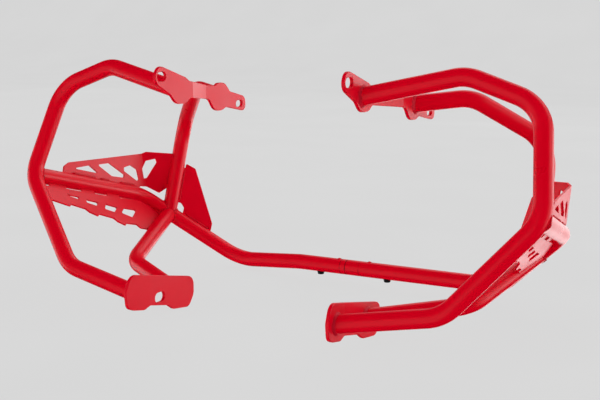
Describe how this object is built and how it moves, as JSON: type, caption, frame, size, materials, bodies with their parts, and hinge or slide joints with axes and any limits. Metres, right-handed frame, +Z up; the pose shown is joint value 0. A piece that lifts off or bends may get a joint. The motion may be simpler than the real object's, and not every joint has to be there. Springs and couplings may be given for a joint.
{
  "type": "motorcycle crash bars",
  "caption": "Pair of bent steel tube engine guards for a wide motorcycle engine, with folded side guards, slotted brackets and a bolted sleeve joint under the front.",
  "frame": {"origin": "middle of the bottom of the bounding box, on the floor", "axes": "+X to the right of the motorcycle, +Y to its front, +Z up"},
  "size_m": [0.8364, 0.4254, 0.3731],
  "materials": {
    "frame_coat": "semi-gloss red powder coat on steel tube",
    "bracket_coat": "semi-gloss red powder coat on laser-cut plate",
    "guard_coat": "semi-gloss red powder coat on folded sheet",
    "sleeve_steel": "drawn steel tube, bare inside the joint",
    "black_screw": "black coated screw steel"
  },
  "bodies": {
    "root": {"hoop_tube_right": "frame_coat", "front_tube_right": "frame_coat", "cross_tube_right": "frame_coat", "lower_strut_right": "frame_coat", "upper_bracket_right": "bracket_coat", "lower_bracket_right": "bracket_coat", "bracket_welds_right": "frame_coat", "upper_guard_right": "guard_coat", "lower_guard_right": "guard_coat", "corner_gusset_right": "guard_coat", "hoop_tube_left": "frame_coat", "front_tube_left": "frame_coat", "cross_tube_left": "frame_coat", "lower_strut_left": "frame_coat", "upper_bracket_left": "bracket_coat", "lower_bracket_left": "bracket_coat", "bracket_welds_left": "frame_coat", "upper_guard_left": "guard_coat", "lower_guard_left": "guard_coat", "corner_gusset_left": "guard_coat", "bridge_sleeve": "sleeve_steel", "bridge_lock_collar": "frame_coat", "bridge_union_collar": "frame_coat", "bridge_screws": "black_screw", "bridge_saddle_washers": "black_screw", "bridge_studs": "frame_coat"}
  },
  "joints": []
}
